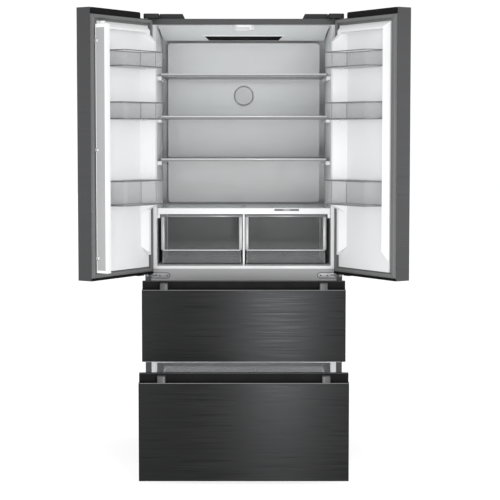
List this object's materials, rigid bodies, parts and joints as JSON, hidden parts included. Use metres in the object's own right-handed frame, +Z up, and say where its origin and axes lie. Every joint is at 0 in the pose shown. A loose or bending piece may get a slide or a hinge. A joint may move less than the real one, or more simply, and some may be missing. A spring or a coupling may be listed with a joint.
{
  "type": "french door refrigerator",
  "caption": "Free-standing refrigerator with a pair of hinged upper doors, a fold-away centre mullion, shelves and crispers, over two pull-out freezer drawers.",
  "frame": {"origin": "centre of the stored pose's footprint box, on the floor", "axes": "+Z up, the doors and drawers face -Y, +X to the viewer's right"},
  "size_m": [1.3226, 1.092, 1.895],
  "materials": {
    "dark_steel": "satin",
    "case_steel": "satin",
    "galvanised": "satin",
    "hinge_steel": "satin",
    "black_plastic": "satin",
    "light_grey_plastic": "satin",
    "white_plastic": "satin",
    "clear_plastic": "gloss",
    "plate_glass": "gloss",
    "foam": "matte",
    "foamed_panel": "satin",
    "foamed_white": "satin",
    "gasket_rubber": "matte",
    "aluminium": "satin",
    "lamp_lens": "gloss",
    "rail_steel": "satin",
    "black_metal": "satin",
    "wheel": "matte"
  },
  "bodies": {
    "cabinet": {"back_panels": "white_plastic", "base_pan": "galvanised", "cabinet_foam": "foam", "compressor": "black_metal", "condenser": "black_metal", "control_box": "white_plastic", "crisper_frame": "white_plastic", "crossbars": "light_grey_plastic", "drain_pan": "black_plastic", "evaporator": "aluminium", "fan_motors": "galvanised", "front_feet": "black_plastic", "glass_plates": "plate_glass", "hinge_hardware": "hinge_steel", "lamp_housing": "white_plastic", "lamp_lens": "lamp_lens", "liners": "white_plastic", "mullion_guide": "white_plastic", "outer_case": "case_steel", "power_inlet": "black_plastic", "rail_fixed": "rail_steel", "rear_panels": "galvanised", "shelf_trims": "white_plastic", "top_hinge_covers": "black_plastic", "vent_outlet": "light_grey_plastic"},
    "left_door": {"left_door_skin": "dark_steel", "left_door_panel": "foamed_panel", "left_door_caps": "black_plastic", "left_door_liner": "foamed_white", "left_door_bins": "clear_plastic", "left_door_gasket": "gasket_rubber"},
    "right_door": {"right_door_skin": "dark_steel", "right_door_panel": "foamed_panel", "right_door_caps": "black_plastic", "right_door_liner": "foamed_white", "right_door_bins": "clear_plastic", "right_door_gasket": "gasket_rubber"},
    "mullion": {"mullion_body": "white_plastic", "mullion_plate": "light_grey_plastic"},
    "upper_drawer": {"upper_drawer_skin": "dark_steel", "upper_drawer_channel": "black_plastic", "upper_drawer_panel": "foamed_white", "upper_drawer_gasket": "gasket_rubber", "upper_drawer_basket": "clear_plastic", "upper_drawer_rail_carrier": "rail_steel"},
    "lower_drawer": {"lower_drawer_skin": "dark_steel", "lower_drawer_channel": "black_plastic", "lower_drawer_panel": "foamed_white", "lower_drawer_gasket": "gasket_rubber", "lower_drawer_basket": "clear_plastic", "lower_drawer_rail_carrier": "rail_steel"},
    "upper_rails": {"upper_drawer_rail_middle": "rail_steel"},
    "lower_rails": {"lower_drawer_rail_middle": "rail_steel"},
    "left_crisper": {"crisper_left": "clear_plastic"},
    "right_crisper": {"crisper_right": "clear_plastic"},
    "slider": {"humidity_slider": "light_grey_plastic"},
    "left_roller": {"roller_left": "wheel"},
    "right_roller": {"roller_right": "wheel"},
    "freezer_rotor": {"freezer_fan": "white_plastic"},
    "condenser_rotor": {"condenser_fan": "black_plastic"}
  },
  "joints": [
    {"name": "left_door_hinge", "type": "hinge", "parent": "cabinet", "child": "left_door", "pos_m": [-0.4045, -0.109, 1.34], "axis": [0, 0, -1], "range_deg": [-123, 7]},
    {"name": "right_door_hinge", "type": "hinge", "parent": "cabinet", "child": "right_door", "pos_m": [0.4045, -0.109, 1.34], "axis": [0, 0, 1], "range_deg": [-123, 7]},
    {"name": "mullion_hinge", "type": "hinge", "parent": "left_door", "child": "mullion", "pos_m": [-0.57511, -0.4525, 1.33], "axis": [0, 0, 1], "range_deg": [-90, 0]},
    {"name": "upper_drawer_slide", "type": "slide", "parent": "cabinet", "child": "upper_drawer", "axis": [0, -1, 0], "range_m": [-0.172, 0.25]},
    {"name": "upper_rail_slide", "type": "slide", "parent": "cabinet", "child": "upper_rails", "axis": [0, -1, 0], "range_m": [-0.086, 0.125]},
    {"name": "lower_drawer_slide", "type": "slide", "parent": "cabinet", "child": "lower_drawer", "axis": [0, -1, 0], "range_m": [-0.39, 0.04]},
    {"name": "lower_rail_slide", "type": "slide", "parent": "cabinet", "child": "lower_rails", "axis": [0, -1, 0], "range_m": [-0.195, 0.02]},
    {"name": "left_crisper_slide", "type": "slide", "parent": "cabinet", "child": "left_crisper", "axis": [0, -1, 0], "range_m": [0, 0.3]},
    {"name": "right_crisper_slide", "type": "slide", "parent": "cabinet", "child": "right_crisper", "axis": [0, -1, 0], "range_m": [0, 0.3]},
    {"name": "humidity_slide", "type": "slide", "parent": "cabinet", "child": "slider", "axis": [1, 0, 0], "range_m": [-0.03, 0.03]},
    {"name": "left_roller_spin", "type": "hinge", "parent": "cabinet", "child": "left_roller", "pos_m": [-0.355, 0.486, 0.016], "axis": [1, 0, 0], "continuous": true},
    {"name": "right_roller_spin", "type": "hinge", "parent": "cabinet", "child": "right_roller", "pos_m": [0.355, 0.486, 0.016], "axis": [1, 0, 0], "continuous": true},
    {"name": "freezer_fan_spin", "type": "hinge", "parent": "cabinet", "child": "freezer_rotor", "pos_m": [0, 0.431, 0.69], "axis": [0, 1, 0], "continuous": true},
    {"name": "condenser_fan_spin", "type": "hinge", "parent": "cabinet", "child": "condenser_rotor", "pos_m": [-0.19, 0.456, 0.15], "axis": [1, 0, 0], "continuous": true}
  ],
  "couplings": [
    {"joint": "upper_rail_slide", "follows": "upper_drawer_slide", "ratio": 0.5},
    {"joint": "lower_rail_slide", "follows": "lower_drawer_slide", "ratio": 0.5}
  ]
}
